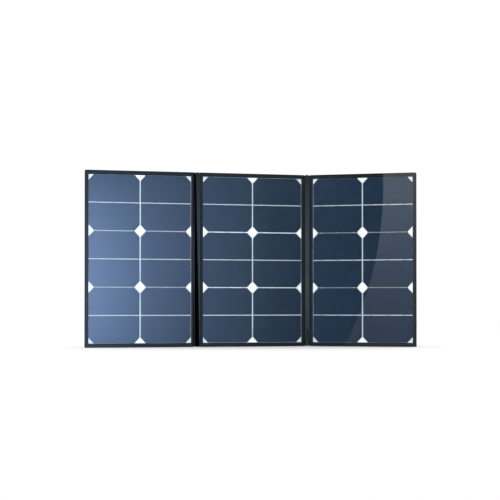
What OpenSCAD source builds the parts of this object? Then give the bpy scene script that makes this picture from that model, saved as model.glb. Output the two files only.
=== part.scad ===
// Tri-fold portable solar panel: three stiff laminated panels bound in fabric and joined by two
// fabric hinges, standing on its lower edge with the right wing folded forward.
// The front faces -Y. The origin is on the ground, in the middle of the centre panel's lower edge.

/* [Cells] */
// Width of a half-cut cell
cell_w = 125; // [120:1:130]
// Height of a half-cut cell
cell_h = 62.5; // [60:0.5:65]
// Leg of the cut at each outer corner of a pair of half cells
cell_chamfer = 12.6; // [8:0.2:16]
// Gap between two rows of cells
row_gap = 2; // [1.5:0.1:3]
// Gap between the two columns of cells
column_gap = 3; // [2:0.1:5]
// Rows of half cells on a panel
rows = 6; // [2:2:6]

/* [Panel] */
// Overall thickness of a panel, with its fabric border
panel_t = 4.8; // [4.8:0.1:5.2]
// Pale margin left between the cells and the fabric border
cell_margin = 1.4; // [1:0.1:3]
// Width of the fabric border on the front, at the sides
side_border_w = 7.6; // [6:0.1:10]
// Width of the fabric border on the front, at the top and bottom
end_border_w = 8.6; // [6:0.1:10]
// Thickness of the border fabric
border_t = 0.5; // [0.4:0.1:0.6]
// Radius of the panel's corners
corner_r = 3; // [1:0.5:6]

/* [Fabric hinges] */
// Distance between the left panel and the centre panel
left_web_w = 13.4; // [13.2:0.1:16]
// Distance between the centre panel and the right panel
right_web_w = 12.8; // [12.4:0.1:16]
// Thickness of a hinge's fabric strip
web_t = 0.8; // [0.6:0.1:0.8]
// Room between each end of a hinge's strip and the panel beside it
web_end_gap = 1.4; // [1.2:0.1:1.8]
// Room between the centre panel and the right wing when it is closed
inner_gap = 1; // [0.8:0.1:1.5]
// Room between the closed right wing and the left wing closed over it
outer_gap = 0.7; // [0.5:0.1:1]
// How far the right wing is folded forward as the panel stands
right_fold = 51; // [30:1:60]

/* [Charge controller] */
// Width of the controller box
box_w = 100; // [96:1:110]
// Height of the controller box
box_h = 62; // [60:1:70]
// Depth of the controller box, from the back cover
box_d = 17; // [17:0.5:20]
// Height of the box's lower face above the ground
box_z = 150; // [120:1:160]

/* [Cable pocket] */
// Width of the pocket
pocket_w = 190; // [180:1:200]
// Height of the pocket
pocket_h = 130; // [120:1:140]
// Depth of the pocket, from the back cover
pocket_d = 11; // [10:0.5:13]
// Height of the pocket's lower edge above the ground
pocket_z = 40; // [30:1:45]

/* [Carry handle] */
// Width of the handle's webbing
handle_w = 25; // [20:1:25]
// Thickness of the handle's webbing
handle_t = 2.2; // [1.5:0.1:3]
// Free length of the handle between its sewn ends
handle_span = 135; // [110:1:140]
// Room for the fingers under the handle
handle_rise = 22; // [18:1:28]

/* [Hidden] */

$fn = 48;
fit = 0.05;             // radial clearance of a pin, rivet or screw
gap = 0.3;              // room between pieces that move past each other

// Laminate, from the front to the back
film_t = 0.5;
cell_t = 0.3;
backsheet_t = 0.4;
cover_t = 0.5;
core_t = panel_t - 2 * border_t;
board_t = core_t - film_t - cell_t - backsheet_t - cover_t;
front_y = -panel_t / 2;
film_y = front_y + border_t;
cell_y = film_y + film_t;
backsheet_y = cell_y + cell_t;
board_y = backsheet_y + backsheet_t;
cover_y = board_y + board_t;
back_y = cover_y + cover_t;

// Panel outline
block_w = 2 * cell_w + column_gap;
block_h = rows * cell_h + (rows - 1) * row_gap;
panel_w = block_w + 2 * (cell_margin + side_border_w);
panel_h = block_h + 2 * (cell_margin + end_border_w);
core_inset = 0.6;
core_w = panel_w - 2 * core_inset;
core_h = panel_h - 2 * core_inset;
block_z = cell_margin + end_border_w;

// Fabric hinges: on each side the wing folds about one upright line, and the strip takes half the fold
web_inset = 2;
left_axis = [-(panel_w + left_web_w) / 2, front_y - (inner_gap + panel_t + outer_gap) / 2];
right_axis = [(panel_w + right_web_w) / 2, front_y - inner_gap / 2];
left_panel_x = -(panel_w + left_web_w);
right_panel_x = panel_w + right_web_w;
piping_d = 1.4;
link_end_gap = 1;
link_z = 24;
link_h = 12;
link_t = 0.3;

// Charge controller
wall = 2;
base_d = 5;
gasket_t = 0.6;
base_floor = 1.5;
cover_front_y = back_y + base_d + gasket_t;
box_back_y = back_y + box_d;
boss_r = 3.4;
screw_r = 1.25;
head_r = 2.7;
head_t = 1.8;
boss_x = box_w / 2 - 5.5;
boss_z = box_h / 2 - 5.5;
pcb_t = 1.6;
pcb_y = back_y + 4.2;
pcb_top_y = pcb_y + pcb_t;
pcb_w = box_w - 2 * wall - 2;
pcb_h = box_h - 2 * wall - 2;
usb_x = -22;
usb_w = 14.4;
usb_d = 6.8;
usb_l = 14;
dc_x = 20;
dc_w = 9;
dc_d = 9;
dc_l = 13;
dc_r = 3.1;
led_x = 36;
led_z = 14;
led_r = 1.5;
led_h = 2.6;
post_x = 28;
post_z = 17;
post_r = 2;
box_r = 5;
cavity_r = 3;

// Rubber caps
pin_r = 0.7;
barrel_r = 1.3;
cap_axis_y = box_back_y - 1.3;
cap_axis_z = box_z - 1.8;
neck_w = 7;
ear_w = 1.6;
cap_plate_t = 2;

// Pocket and zip
skin_t = 1;
hem_w = 8;
pocket_r = 8;
pocket_face_y = back_y + pocket_d;
zip_z = pocket_z + pocket_h - 15;
zip_mouth_h = 10;
zip_l = pocket_w - 14;
tape_t = 0.5;
tape_w = 8;
rail_h = 1.3;
post_slot = 1.4;
slider_l = 12;
slider_x = zip_l / 2 - slider_l / 2 - 1;
bail_y = pocket_face_y + 4.6;
bail_r = 0.8;
pull_l = 22;

// Carry handle
handle_x = -panel_w / 2 + side_border_w + 2 + handle_w / 2;
handle_z = panel_h / 2;
handle_tab = 30;
rivet_r = 2;
rivet_head_r = 4;

// Leads from the backsheet to the controller, through the board and the cover
lead_r = 1.2;
lead_x = [-4, 4];
lead_dz = 16;
lead_z = box_z + box_h / 2 + lead_dz;

// Rivets of the carry handle
rivet_z = [handle_z - handle_span / 2 - handle_tab / 2,
           handle_z + handle_span / 2 + handle_tab / 2];
rivet_dx = 6;

// Closure strap
strap_w = 25;
strap_l = 62;
strap_t = 1.6;
pad_t = 1.1;
strap_z = panel_h / 2;
strap_pivot_x = -panel_w / 2 + 16.5;
strap_pivot_y = back_y + 2.2;

// Where the wings and the hinge strips stand

// Turns its children about an upright line through a point in X and Y
module turned(axis, angle) {
  translate([axis[0], axis[1], 0]) rotate([0, 0, angle]) translate([-axis[0], -axis[1], 0]) children();
}

module at_left() {
  translate([left_panel_x, 0, 0]) children();
}

module at_right() {
  turned(right_axis, -right_fold) translate([right_panel_x, 0, 0]) children();
}

module at_left_strip() {
  translate([left_axis[0], front_y, 0]) children();
}

module at_right_strip() {
  translate([right_axis[0], right_axis[1], 0]) rotate([0, 0, -right_fold / 2]) children();
}

// Helpers

// Stands a drawing made in X and Z upright, from y to y + t
module upright(y, t) {
  translate([0, y + t, 0]) rotate([90, 0, 0]) linear_extrude(t) children();
}

module block(x0, x1, y0, y1, z0, z1) {
  translate([x0, y0, z0]) cube([x1 - x0, y1 - y0, z1 - z0]);
}

// A round bar along Y, from y0 to y1
module bar_y(x, z, r, y0, y1) {
  translate([x, y1, z]) rotate([90, 0, 0]) cylinder(r = r, h = y1 - y0);
}

// A round bar along X, centred on x
module bar_x(x, y, z, r, l) {
  translate([x - l / 2, y, z]) rotate([0, 90, 0]) cylinder(r = r, h = l);
}

module rounded(w, h, r) {
  square([w - 2 * r, h], center = true);
  square([w, h - 2 * r], center = true);
  for (sx = [-1, 1], sz = [-1, 1])
    translate([sx * (w / 2 - r), sz * (h / 2 - r)]) circle(r);
}

// Laminated panel, in the panel's own place

module panel_outline() {
  translate([0, panel_h / 2]) rounded(panel_w, panel_h, corner_r);
}

module core_outline() {
  translate([0, panel_h / 2]) square([core_w, core_h], center = true);
}

module window_outline() {
  window_w = block_w + 2 * cell_margin;
  window_h = block_h + 2 * cell_margin;
  translate([0, panel_h / 2]) square([window_w, window_h], center = true);
}

// One half cell; the cut corners are at the top when flip is false
module half_cell(flip) {
  c = cell_chamfer;
  outline = [[0, 0], [cell_w, 0], [cell_w, cell_h - c], [cell_w - c, cell_h], [c, cell_h], [0, cell_h - c]];
  translate([0, flip ? cell_h : 0]) scale([1, flip ? -1 : 1]) polygon(outline);
}

module panel_border() {
  color("#24262a")
    difference() {
      upright(front_y, panel_t) panel_outline();
      upright(film_y, core_t) core_outline();
      upright(front_y - 1, panel_t + 2) window_outline();
    }
}

module panel_film() {
  color("#dfe8ef", 0.25) upright(film_y, film_t) core_outline();
}

module panel_cells() {
  color("#27405f")
    for (column = [0, 1], row = [0 : rows - 1])
      translate([column * (cell_w + column_gap) - block_w / 2, 0, block_z + row * (cell_h + row_gap)])
        upright(cell_y, cell_t) half_cell(row % 2 == 0);
}

// Tabs bridge the rows, a bus joins the columns at the top, leads reach the fabric hinges
module panel_ribbons(lead_sides) {
  tab_w = 5;
  bus_h = 4;
  bus_l = 150;
  lead_l = core_w / 2 - block_w / 2;
  color("#9aa1a8") {
    for (column = [-1, 1], row = [1 : rows - 1], third = [-1, 0, 1])
      translate([column * (cell_w + column_gap) / 2 + third * cell_w / 3 - tab_w / 2,
                 cell_y, block_z + row * (cell_h + row_gap) - row_gap])
        cube([tab_w, cell_t, row_gap]);
    block(-bus_l / 2, bus_l / 2, cell_y, cell_y + cell_t,
          block_z + block_h + cell_margin, block_z + block_h + cell_margin + bus_h);
    for (side = lead_sides)
      translate([side > 0 ? block_w / 2 : -core_w / 2, cell_y, link_z])
        cube([lead_l, cell_t, link_h]);
  }
}

module panel_backsheet() {
  color("#eef1f3") upright(backsheet_y, backsheet_t) core_outline();
}

module panel_board() {
  color("#6f7468") upright(board_y, board_t) core_outline();
}

module panel_back_cover() {
  color("#2b2e33") upright(cover_y, cover_t) core_outline();
}

// Centre panel

module centre_border() { panel_border(); }
module centre_front_film() { panel_film(); }
module centre_cells() { panel_cells(); }
module centre_ribbons() { panel_ribbons([-1, 1]); }

module lead_holes() {
  for (x = lead_x) bar_y(x, lead_z, lead_r + fit, backsheet_y + backsheet_t, back_y + 1);
}

module rivet_holes(y0, y1) {
  for (z = rivet_z, side = [-1, 1]) bar_y(handle_x + side * rivet_dx, z, rivet_r + fit, y0, y1);
}

module centre_backsheet() { panel_backsheet(); }

module centre_board() {
  difference() {
    panel_board();
    lead_holes();
    rivet_holes(board_y + 0.5, back_y + 1);
  }
}

module centre_back_cover() {
  difference() {
    panel_back_cover();
    lead_holes();
    rivet_holes(cover_y - 1, back_y + 1);
  }
}

// Left panel

module left_border() { at_left() panel_border(); }
module left_front_film() { at_left() panel_film(); }
module left_cells() { at_left() panel_cells(); }
module left_ribbons() { at_left() panel_ribbons([1]); }
module left_backsheet() { at_left() panel_backsheet(); }
module left_board() { at_left() panel_board(); }
module left_back_cover() { at_left() panel_back_cover(); }

// Right panel

module right_border() { at_right() panel_border(); }
module right_front_film() { at_right() panel_film(); }
module right_cells() { at_right() panel_cells(); }
module right_ribbons() { at_right() panel_ribbons([-1]); }
module right_backsheet() { at_right() panel_backsheet(); }
module right_board() { at_right() panel_board(); }
module right_back_cover() { at_right() panel_back_cover(); }

// Fabric hinges: a flat strip with round ends, centred in its gap, hollow for the link ribbon

module hinge_strip(w) {
  l = w - 2 * web_end_gap - web_t;
  h = panel_h - 2 * web_inset;
  difference() {
    translate([0, 0, web_inset]) {
      translate([-l / 2, -web_t / 2, 0]) cube([l, web_t, h]);
      for (side = [-1, 1]) translate([side * l / 2, 0, 0]) cylinder(d = web_t, h = h);
    }
    link_slot(w);
  }
}

module link_slot(w) {
  l = w - 2 * (web_end_gap + link_end_gap);
  translate([-l / 2, -link_t / 2, link_z]) cube([l, link_t, link_h]);
}

module left_hinge_fabric() {
  color("#343a44") at_left_strip() hinge_strip(left_web_w);
}

module left_link_ribbon() {
  color("#b5722f") at_left_strip() link_slot(left_web_w);
}

// The right strip carries a round piping on its fold line, above and below the link ribbon
module right_hinge_fabric() {
  color("#343a44")
    at_right_strip() {
      hinge_strip(right_web_w);
      translate([0, 0, web_inset]) cylinder(d = piping_d, h = link_z - 2 * web_inset);
      translate([0, 0, link_z + link_h + web_inset])
        cylinder(d = piping_d, h = panel_h - link_z - link_h - 2 * web_inset);
    }
}

module right_link_ribbon() {
  color("#b5722f") at_right_strip() link_slot(right_web_w);
}

// Charge controller on the centre panel's back

module in_box() { translate([0, 0, box_z + box_h / 2]) children(); }

module box_corners() {
  for (sx = [-1, 1], sz = [-1, 1]) translate([sx * boss_x, 0, sz * boss_z]) children();
}

module controller_base() {
  color("#1d1f22")
    in_box()
      difference() {
        union() {
          difference() {
            upright(back_y, base_d) rounded(box_w, box_h, box_r);
            upright(back_y + base_floor, base_d) rounded(box_w - 2 * wall, box_h - 2 * wall, cavity_r);
          }
          box_corners() bar_y(0, 0, boss_r, back_y + 1, back_y + base_d);
          for (x = [-1, 1], z = [-1, 1])
            bar_y(x * post_x, z * post_z, post_r, back_y + 1, pcb_y);
        }
        box_corners() bar_y(0, 0, screw_r + fit, back_y + base_floor, back_y + base_d + 1);
        for (x = lead_x) bar_y(x, lead_dz, lead_r + fit, back_y - 1, back_y + base_floor + 1);
      }
}

module controller_gasket() {
  color("#3b3b3d")
    in_box()
      difference() {
        upright(back_y + base_d, gasket_t) rounded(box_w, box_h, box_r);
        upright(back_y + base_d - 1, gasket_t + 2)
          rounded(box_w - 2 * wall, box_h - 2 * wall, cavity_r);
      }
}

// The caps' places, as [x, width]
cap_list = [[usb_x, 19], [dc_x, 14]];

module cover_ears() {
  for (cap = cap_list, side = [-1, 1])
    translate([cap[0] + side * (neck_w / 2 + gap + ear_w / 2), 0, 0])
      difference() {
        union() {
          bar_x(0, cap_axis_y, cap_axis_z, barrel_r, ear_w);
          block(-ear_w / 2, ear_w / 2, cap_axis_y - barrel_r, cap_axis_y + barrel_r,
                cap_axis_z, box_z + 1);
        }
        bar_x(0, cap_axis_y, cap_axis_z, pin_r, ear_w + 1);
      }
}

module controller_cover() {
  shell_d = box_back_y - cover_front_y;
  color("#22252a") {
    difference() {
      union() {
        in_box() {
          difference() {
            upright(cover_front_y, shell_d) rounded(box_w, box_h, box_r);
            upright(cover_front_y - 1, shell_d + 1 - wall)
              rounded(box_w - 2 * wall, box_h - 2 * wall, cavity_r);
          }
          box_corners() bar_y(0, 0, boss_r, cover_front_y, box_back_y - 1);
        }
        cover_ears();
      }
      in_box() {
        box_corners() bar_y(0, 0, screw_r + 0.15, cover_front_y - 1, box_back_y + 1);
        box_corners() bar_y(0, 0, head_r + 0.2, box_back_y - head_t, box_back_y + 1);
        bar_y(led_x, led_z, led_r + fit, box_back_y - wall - 1, box_back_y + 1);
      }
      block(usb_x - usb_w / 2 - fit, usb_x + usb_w / 2 + fit, cover_front_y - 1,
            pcb_top_y + usb_d + fit, box_z - 1, box_z + wall + 1);
      block(dc_x - dc_w / 2 - fit, dc_x + dc_w / 2 + fit, cover_front_y - 1,
            pcb_top_y + dc_d + fit, box_z - 1, box_z + wall + 1);
    }
  }
}

module controller_screws() {
  color("#b9bdc2")
    in_box()
      box_corners()
        difference() {
          union() {
            bar_y(0, 0, screw_r, back_y + base_floor + 0.5, box_back_y - head_t + 0.5);
            bar_y(0, 0, head_r, box_back_y - head_t, box_back_y - 0.1);
          }
          for (turn = [0, 90])
            translate([0, box_back_y - 0.1, 0]) rotate([0, turn, 0]) cube([0.7, 1.6, 3.2], center = true);
        }
}

module circuit_board() {
  notch = 12;
  color("#1f6a43")
    in_box()
      difference() {
        upright(pcb_y, pcb_t)
          difference() {
            square([pcb_w, pcb_h], center = true);
            for (sx = [-1, 1], sz = [-1, 1])
              translate([sx * pcb_w / 2, sz * pcb_h / 2]) square(notch, center = true);
          }
        for (x = lead_x) bar_y(x, lead_dz, lead_r + fit, pcb_y - 1, pcb_top_y + 1);
      }
}

module usb_socket() {
  shell = 0.9;
  color("#c3c7cb")
    translate([usb_x, pcb_top_y, box_z])
      difference() {
        union() {
          difference() {
            translate([-usb_w / 2, 0, 0]) cube([usb_w, usb_d, usb_l]);
            translate([-usb_w / 2 + shell, shell, -1]) cube([usb_w - 2 * shell, usb_d - 2 * shell, usb_l]);
          }
          translate([-usb_w / 2 + 1.8, shell + 0.4, 1]) cube([usb_w - 3.6, 1.8, usb_l - 1.5]);
        }
      }
}

module dc_socket() {
  color("#151618")
    translate([dc_x, pcb_top_y, box_z])
      difference() {
        translate([-dc_w / 2, 0, 0]) cube([dc_w, dc_d, dc_l]);
        difference() {
          translate([0, dc_d / 2, -1]) cylinder(r = dc_r, h = 10);
          translate([0, dc_d / 2, 1]) cylinder(r = 1, h = 10);
        }
      }
}

module indicator_led() {
  color("#e8efe6") in_box() bar_y(led_x, led_z, led_r, pcb_top_y, pcb_top_y + led_h);
}

module light_pipe() {
  color("#d8f0e0") in_box() bar_y(led_x, led_z, led_r, pcb_top_y + led_h, box_back_y + 0.3);
}

module blocking_diode() {
  color("#101113") in_box() translate([-38, pcb_top_y, 2]) cube([9, 4.2, 12]);
}

module choke() {
  color("#6d4a2c")
    in_box()
      translate([0, pcb_top_y, -4])
        rotate([-90, 0, 0])
          difference() {
            cylinder(r = 7, h = 5);
            translate([0, 0, -1]) cylinder(r = 3, h = 7);
          }
}

module capacitors() {
  color("#2a3342") in_box() for (x = [-18, 18]) bar_y(x, 8, 3.6, pcb_top_y, pcb_top_y + 7);
}

module panel_leads() {
  color("#a3262a") in_box() for (x = lead_x) bar_y(x, lead_dz, lead_r, board_y, pcb_top_y + 0.6);
}

// Rubber caps that hang on pins between the cover's ears

module socket_cap(x, w) {
  plate_z = cap_axis_z - 0.8;
  plate_y0 = back_y + 4.2;
  plate_y1 = cap_axis_y - 2.8;
  color("#16171a")
    difference() {
      union() {
        bar_x(x, cap_axis_y, cap_axis_z, barrel_r, neck_w);
        block(x - neck_w / 2, x + neck_w / 2, plate_y1 - 1, cap_axis_y, plate_z, plate_z + 1.6);
        block(x - w / 2, x + w / 2, plate_y0, plate_y1, plate_z, plate_z + cap_plate_t);
        block(x - w / 4, x + w / 4, plate_y0 - 1.6, plate_y0 + 0.5, plate_z - 1.2, plate_z + 1);
      }
      bar_x(x, cap_axis_y, cap_axis_z, pin_r + fit, neck_w + 1);
    }
}

module usb_cap() { socket_cap(cap_list[0][0], cap_list[0][1]); }
module dc_cap() { socket_cap(cap_list[1][0], cap_list[1][1]); }

module cap_pins() {
  color("#c3c7cb")
    for (cap = cap_list) bar_x(cap[0], cap_axis_y, cap_axis_z, pin_r, neck_w + 2 * gap + 2 * ear_w);
}

// Cable pocket on the left panel's back, with a zip across its face

module cable_pocket() {
  mid_z = pocket_z + pocket_h / 2;
  color("#26292e")
    at_left()
      difference() {
        union() {
          translate([0, 0, mid_z]) upright(back_y, pocket_d) rounded(pocket_w, pocket_h, pocket_r);
          translate([0, 0, mid_z])
            upright(back_y, skin_t)
              rounded(pocket_w + 2 * hem_w, pocket_h + 2 * hem_w, pocket_r + 2);
        }
        translate([0, 0, mid_z])
          upright(back_y - 1, pocket_d + 1 - skin_t)
            rounded(pocket_w - 2 * skin_t, pocket_h - 2 * skin_t, pocket_r - skin_t);
        block(-zip_l / 2, zip_l / 2, pocket_face_y - 3, pocket_face_y + 1,
              zip_z - zip_mouth_h / 2, zip_z + zip_mouth_h / 2);
      }
}

module zip_tape() {
  inner = post_slot / 2 + rail_h;
  color("#15171a")
    at_left()
      for (low = [zip_z + inner, zip_z - inner - tape_w])
        translate([-zip_l / 2 - 3, pocket_face_y, low]) cube([zip_l + 6, tape_t, tape_w]);
}

module zip_teeth() {
  color("#8b9096")
    at_left()
      for (side = [-1, 1])
        translate([-zip_l / 2 + 1, pocket_face_y - 0.4,
                   zip_z + (side > 0 ? post_slot / 2 : -post_slot / 2 - rail_h)])
          cube([zip_l - 2, 1.3, rail_h]);
}

module zip_slider() {
  x = slider_x;
  plate_h = 7.6;
  inner_y = pocket_face_y - 1.9;
  outer_y = pocket_face_y + 1.3;
  color("#7f858c")
    at_left()
      translate([x, 0, zip_z]) {
        block(-slider_l / 2, slider_l / 2, inner_y, inner_y + 1, -plate_h / 2, plate_h / 2);
        block(2, 4, inner_y, outer_y + 0.5, -0.4, 0.4);
        block(-slider_l / 2, slider_l / 2, outer_y, outer_y + 1.2, -plate_h / 2, plate_h / 2);
        for (sx = [-1, 1])
          block(sx * 4.4 - 0.8, sx * 4.4 + 0.8, outer_y + 1, bail_y + bail_r, -1.2, 1.2);
        bar_x(0, bail_y, 0, bail_r, 8);
      }
}

module zip_pull() {
  color("#7f858c")
    at_left()
      translate([slider_x, bail_y, zip_z])
        difference() {
          union() {
            bar_x(0, 0, 0, 1.8, 5.6);
            block(-2.8, 2.8, -0.6, 0.6, -pull_l, 0);
          }
          bar_x(0, 0, 0, bail_r + fit, 8);
          translate([0, 0, -pull_l + 4]) bar_y(0, 0, 1.5, -2, 2);
        }
}

// Carry handle on the centre panel's back, beside the left hinge

// Height of the handle's inner face above the cover, along the free span from 0 to 1
function handle_bow(t) = handle_rise * pow(sin(180 * t), 1.4);

module carry_handle() {
  steps = 20;
  z0 = handle_z - handle_span / 2;
  inner = [for (i = [0 : steps]) [z0 + handle_span * i / steps, handle_bow(i / steps)]];
  outer = [for (i = [steps : -1 : 0]) [z0 + handle_span * i / steps, handle_bow(i / steps) + handle_t]];
  ends_low = [[z0 - handle_tab, handle_t], [z0 - handle_tab, 0]];
  ends_high = [[z0 + handle_span + handle_tab, 0], [z0 + handle_span + handle_tab, handle_t]];
  color("#1b1d20")
    difference() {
      translate([handle_x + handle_w / 2, back_y, 0])
        rotate([0, -90, 0])
          linear_extrude(handle_w)
            polygon(concat(inner, ends_high, outer, ends_low));
      rivet_holes(back_y - 1, back_y + handle_t + 1);
    }
}

module handle_patches() {
  patch_t = 1;
  color("#2f3338")
    difference() {
      for (z = rivet_z)
        block(handle_x - handle_w / 2, handle_x + handle_w / 2, back_y + handle_t,
              back_y + handle_t + patch_t, z - handle_tab / 2 + 2, z + handle_tab / 2 - 2);
      rivet_holes(back_y, back_y + handle_t + patch_t + 1);
    }
}

module handle_rivets() {
  head_y = back_y + handle_t + 1;
  color("#9da2a8")
    for (z = rivet_z, side = [-1, 1]) {
      bar_y(handle_x + side * rivet_dx, z, rivet_r, board_y + 0.5, head_y + 0.5);
      bar_y(handle_x + side * rivet_dx, z, rivet_head_r, head_y, head_y + 1.3);
    }
}

// Closure strap on the left panel's back and the hook-and-loop pads it presses on

module strap_anchor() {
  color("#1b1d20")
    at_left()
      block(strap_pivot_x - 8.5, strap_pivot_x - 1.2, back_y, back_y + 1,
            strap_z - strap_w / 2, strap_z + strap_w / 2);
}

module closure_strap() {
  color("#1b1d20")
    at_left()
      translate([strap_pivot_x, strap_pivot_y, strap_z - strap_w / 2]) {
        cylinder(d = strap_t, h = strap_w);
        translate([0, -strap_t / 2, 0]) cube([strap_l, strap_t, strap_w]);
      }
}

module parking_pad() {
  color("#3a3d42")
    at_left()
      block(strap_pivot_x + 18, strap_pivot_x + strap_l - 4, back_y, back_y + pad_t,
            strap_z - strap_w / 2, strap_z + strap_w / 2);
}

module closure_pad() {
  color("#3a3d42")
    block(panel_w / 2 - 50, panel_w / 2 - 14, back_y, back_y + pad_t,
          strap_z - strap_w / 2, strap_z + strap_w / 2);
}

centre_border();
centre_front_film();
centre_cells();
centre_ribbons();
centre_backsheet();
centre_board();
centre_back_cover();
left_border();
left_front_film();
left_cells();
left_ribbons();
left_backsheet();
left_board();
left_back_cover();
right_border();
right_front_film();
right_cells();
right_ribbons();
right_backsheet();
right_board();
right_back_cover();
left_hinge_fabric();
left_link_ribbon();
right_hinge_fabric();
right_link_ribbon();
controller_base();
controller_gasket();
controller_cover();
controller_screws();
circuit_board();
usb_socket();
dc_socket();
indicator_led();
light_pipe();
blocking_diode();
choke();
capacitors();
panel_leads();
usb_cap();
dc_cap();
cap_pins();
cable_pocket();
zip_tape();
zip_teeth();
zip_slider();
zip_pull();
carry_handle();
handle_patches();
handle_rivets();
strap_anchor();
closure_strap();
parking_pad();
closure_pad();
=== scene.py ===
import math
import random

import bmesh
import bpy
import numpy as np
from mathutils import Matrix, Vector, noise


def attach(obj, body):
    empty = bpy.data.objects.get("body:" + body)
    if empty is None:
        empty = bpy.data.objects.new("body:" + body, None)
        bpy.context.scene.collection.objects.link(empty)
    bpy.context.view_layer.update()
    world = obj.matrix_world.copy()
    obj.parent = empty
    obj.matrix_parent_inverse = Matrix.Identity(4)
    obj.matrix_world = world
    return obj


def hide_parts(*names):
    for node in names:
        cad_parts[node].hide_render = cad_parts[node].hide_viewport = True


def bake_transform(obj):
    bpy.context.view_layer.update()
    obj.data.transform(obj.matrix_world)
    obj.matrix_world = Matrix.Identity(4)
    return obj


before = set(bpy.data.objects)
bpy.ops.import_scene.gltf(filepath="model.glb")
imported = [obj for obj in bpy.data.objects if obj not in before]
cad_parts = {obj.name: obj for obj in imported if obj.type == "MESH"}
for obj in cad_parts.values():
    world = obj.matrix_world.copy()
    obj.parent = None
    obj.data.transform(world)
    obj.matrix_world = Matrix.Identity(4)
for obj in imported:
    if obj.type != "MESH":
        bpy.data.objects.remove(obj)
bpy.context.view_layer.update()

# Sizes below are in millimetres, as in the part's source. Meshes are scaled to metres as they are made.
MM = 0.001
PANEL_W, PANEL_H = 271.0, 405.0
CORE_W, CORE_H = 269.8, 403.8
CORE_Z = (PANEL_H - CORE_H) / 2
CELL_W, CELL_H = 125.0, 62.5
ROW_GAP, COLUMN_GAP = 2.0, 3.0
ROW_PITCH = CELL_H + ROW_GAP
DIAMOND_R = 14.0
BLOCK_W, BLOCK_H, BLOCK_Z = 253.0, 385.0, 10.0
SIDE_BORDER, END_BORDER = 7.6, 8.6
CORNER_R = 3.0
STITCH_PITCH = 4.3
FRONT_Y, FILM_Y, CELL_Y, BACK_Y = -2.4, -1.9, -1.4, 1.9
LEFT_X, RIGHT_X = -284.4, 283.8
RIGHT_AXIS = (141.9, -2.9)
RIGHT_FOLD = math.radians(51)
LEFT_EDGE, CENTRE_EDGE, RIGHT_EDGE = -148.9, 135.5, 148.3

rng = random.Random(7)

# ---------------------------------------------------------------- camera

CAMERA_AT = Vector((-2.3860, -5.1091, 0.0975))
CAMERA_YAW, CAMERA_PITCH = math.radians(24.979), math.radians(1.307)
CAMERA_LENS = 173.22

camera = bpy.data.objects.new("camera", bpy.data.cameras.new("camera"))
bpy.context.scene.collection.objects.link(camera)
camera.location = CAMERA_AT
camera.rotation_euler = (math.pi / 2 + CAMERA_PITCH, 0, -CAMERA_YAW)
camera.data.lens = CAMERA_LENS
camera.data.sensor_width = 36
camera.data.clip_start, camera.data.clip_end = 0.05, 60
bpy.context.scene.camera = camera


# ---------------------------------------------------------------- places

def about(axis, angle):
    """A turn about an upright line, in metres."""
    at = Vector((axis[0] * MM, axis[1] * MM, 0))
    return Matrix.Translation(at) @ Matrix.Rotation(angle, 4, "Z") @ Matrix.Translation(-at)


PLACE = {
    "centre": Matrix.Identity(4),
    "left": Matrix.Translation((LEFT_X * MM, 0, 0)),
    "right": about(RIGHT_AXIS, -RIGHT_FOLD) @ Matrix.Translation((RIGHT_X * MM, 0, 0)),
}


# ---------------------------------------------------------------- node materials

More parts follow.
